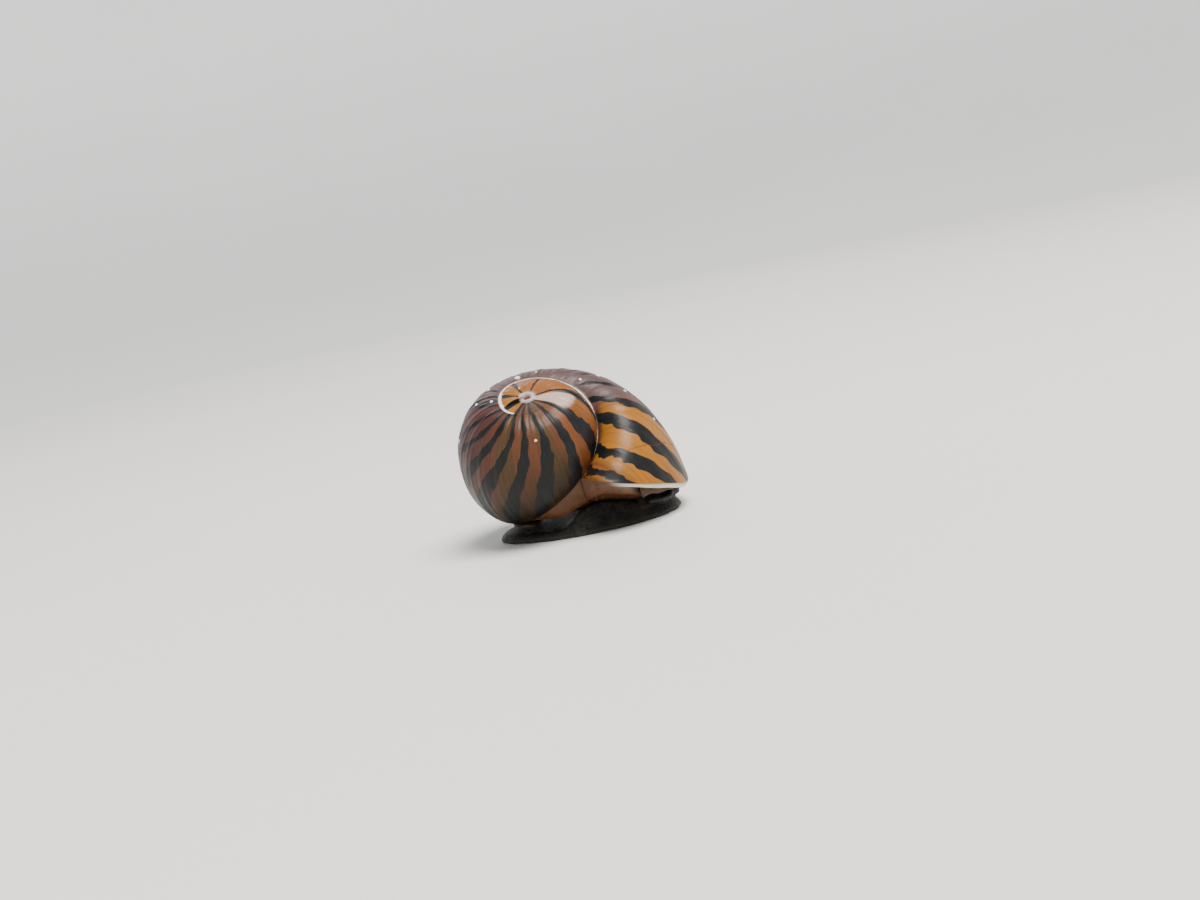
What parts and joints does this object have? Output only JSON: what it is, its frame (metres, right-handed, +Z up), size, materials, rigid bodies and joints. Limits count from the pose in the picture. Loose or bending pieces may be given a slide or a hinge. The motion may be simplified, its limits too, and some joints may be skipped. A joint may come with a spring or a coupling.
{
  "type": "nerite snail",
  "caption": "Zebra-striped nerite snail crawling, with a low domed spiral shell, broad flat foot, head, feelers and eyes.",
  "frame": {"origin": "centre of the flat sole of the foot, on the floor", "axes": "+X forwards, towards the head; +Y to the snail's left; +Z up"},
  "size_m": [0.0217, 0.0199, 0.0159],
  "materials": {
    "shell": "glossy ochre to brown shell with black wavy stripes, worn pale at the apex",
    "operculum": "satin chalky plate with fine growth lines",
    "mantle": "wet dark olive-brown flesh",
    "foot": "wet near-black flesh with a paler grey sole",
    "head": "wet near-black flesh",
    "tentacles": "wet dark flesh with fine rings",
    "eyes": "glossy black"
  },
  "bodies": {
    "root": {"shell": "shell", "operculum": "operculum", "mantle": "mantle", "foot": "foot", "head": "head", "tentacle_right": "tentacles", "tentacle_left": "tentacles", "eye_stalk_right": "head", "eye_stalk_left": "head", "eye_right": "eyes", "eye_left": "eyes"}
  },
  "joints": []
}
